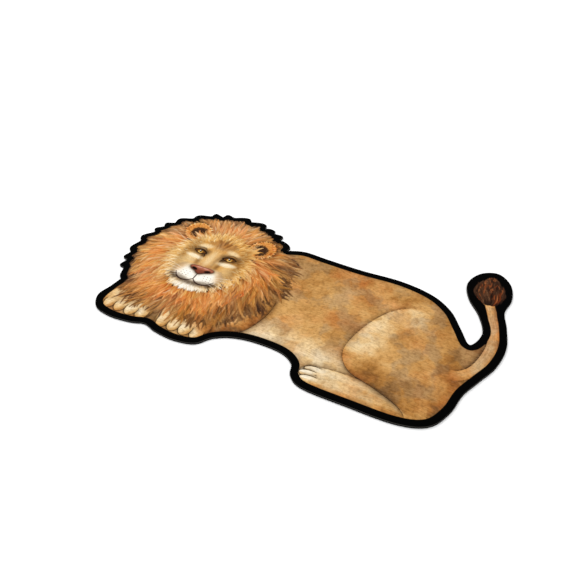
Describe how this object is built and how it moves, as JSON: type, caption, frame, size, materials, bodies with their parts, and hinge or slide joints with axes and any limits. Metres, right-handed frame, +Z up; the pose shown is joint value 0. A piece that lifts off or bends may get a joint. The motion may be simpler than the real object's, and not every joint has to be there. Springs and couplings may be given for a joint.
{
  "type": "lion shaped kids rug",
  "caption": "Flat contour-cut children's rug in the outline of a resting lion with its tail up: a printed short-pile face bonded to a black non-slip base, laid on a floor.",
  "frame": {"origin": "middle of the rug's box, at floor level", "axes": "+X along the lion's length from its head to its tail, +Y from its feet to its back, +Z up off the floor"},
  "size_m": [1.2, 0.6878, 0.0063],
  "materials": {
    "base_rubber": "matt black foamed rubber with a fine non-slip grain",
    "printed_plush": null
  },
  "bodies": {
    "root": {"non_slip_base": "base_rubber", "printed_face": "printed_plush"}
  },
  "joints": []
}
